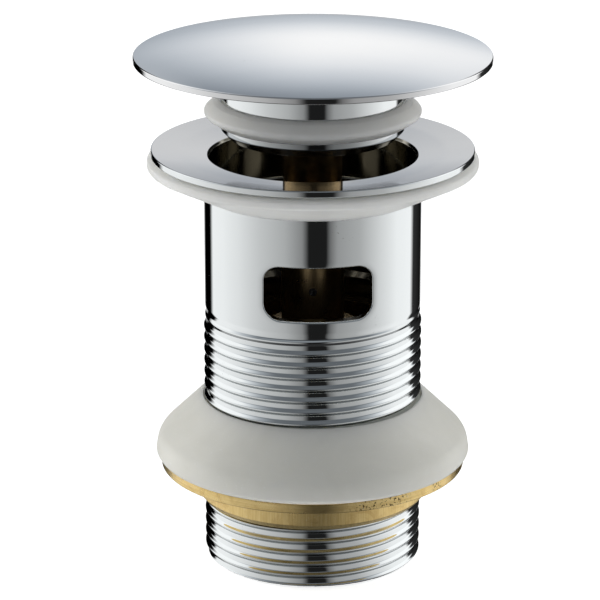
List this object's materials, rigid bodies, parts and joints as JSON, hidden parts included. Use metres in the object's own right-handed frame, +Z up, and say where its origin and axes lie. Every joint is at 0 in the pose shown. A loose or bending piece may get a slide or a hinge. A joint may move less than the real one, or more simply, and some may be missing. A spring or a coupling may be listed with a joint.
{
  "type": "pop up basin waste",
  "caption": "Slotted pop up basin waste: domed push plug with a lip seal above a dished flange, chromed threaded tube with overflow slots, cone washer and round back nut.",
  "frame": {"origin": "centre of the tail's end face, at the foot of the tube", "axes": "+Z up along the tube towards the cap; the first overflow slot faces -Y, the second +Y"},
  "size_m": [0.0676, 0.0676, 0.1033],
  "materials": {
    "chrome_body": "mirror chrome plate on brass",
    "chrome_plug": "mirror chrome plate on brass",
    "clear_silicone": "translucent milky silicone",
    "cone_silicone": "translucent milky silicone, satin",
    "turned_brass": "raw turned brass",
    "cartridge_brass": "raw brass, slightly dulled",
    "steel": "drawn stainless steel",
    "acetal": "moulded natural acetal",
    "nitrile": "black nitrile"
  },
  "bodies": {
    "waste": {"waste_body": "chrome_body", "flange_seal": "clear_silicone", "bridge_spider": "cartridge_brass", "cartridge_barrel": "cartridge_brass", "lock_nut": "cartridge_brass", "lock_washer": "steel", "barrel_oring": "nitrile", "guide_pin": "steel", "return_spring": "steel"},
    "plug": {"dome_cap": "chrome_plug", "cap_stud": "cartridge_brass", "plug_neck": "chrome_plug", "plug_seal": "clear_silicone", "plunger_sleeve": "cartridge_brass", "spindle": "steel", "spring_seat": "cartridge_brass", "retaining_clip": "steel"},
    "cam": {"cam_rotor": "acetal"},
    "clamp_washer": {"cone_washer": "cone_silicone"},
    "clamp_nut": {"backnut": "turned_brass"}
  },
  "joints": [
    {"name": "plug_travel", "type": "slide", "parent": "waste", "child": "plug", "axis": [0, 0, 1], "range_m": [-0.0077, 0], "stiffness_N_per_m": 900, "springref_m": 0.008, "deforming": ["return_spring"]},
    {"name": "cam_turn", "type": "hinge", "parent": "plug", "child": "cam", "pos_m": [0, 0, 0.0589], "axis": [0, 0, 1], "range_deg": [-45, 0]},
    {"name": "nut_travel", "type": "slide", "parent": "waste", "child": "clamp_washer", "axis": [0, 0, 1], "range_m": [-0.01155, 0.0255]},
    {"name": "nut_turn", "type": "hinge", "parent": "clamp_washer", "child": "clamp_nut", "pos_m": [0, 0, 0.0172], "axis": [0, 0, 1], "range_deg": [-1800, 3960]}
  ],
  "couplings": [
    {"joint": "cam_turn", "follows": "plug_travel", "rad_per_m": 102},
    {"joint": "nut_travel", "follows": "nut_turn", "m_per_rad": 0.00036749}
  ]
}
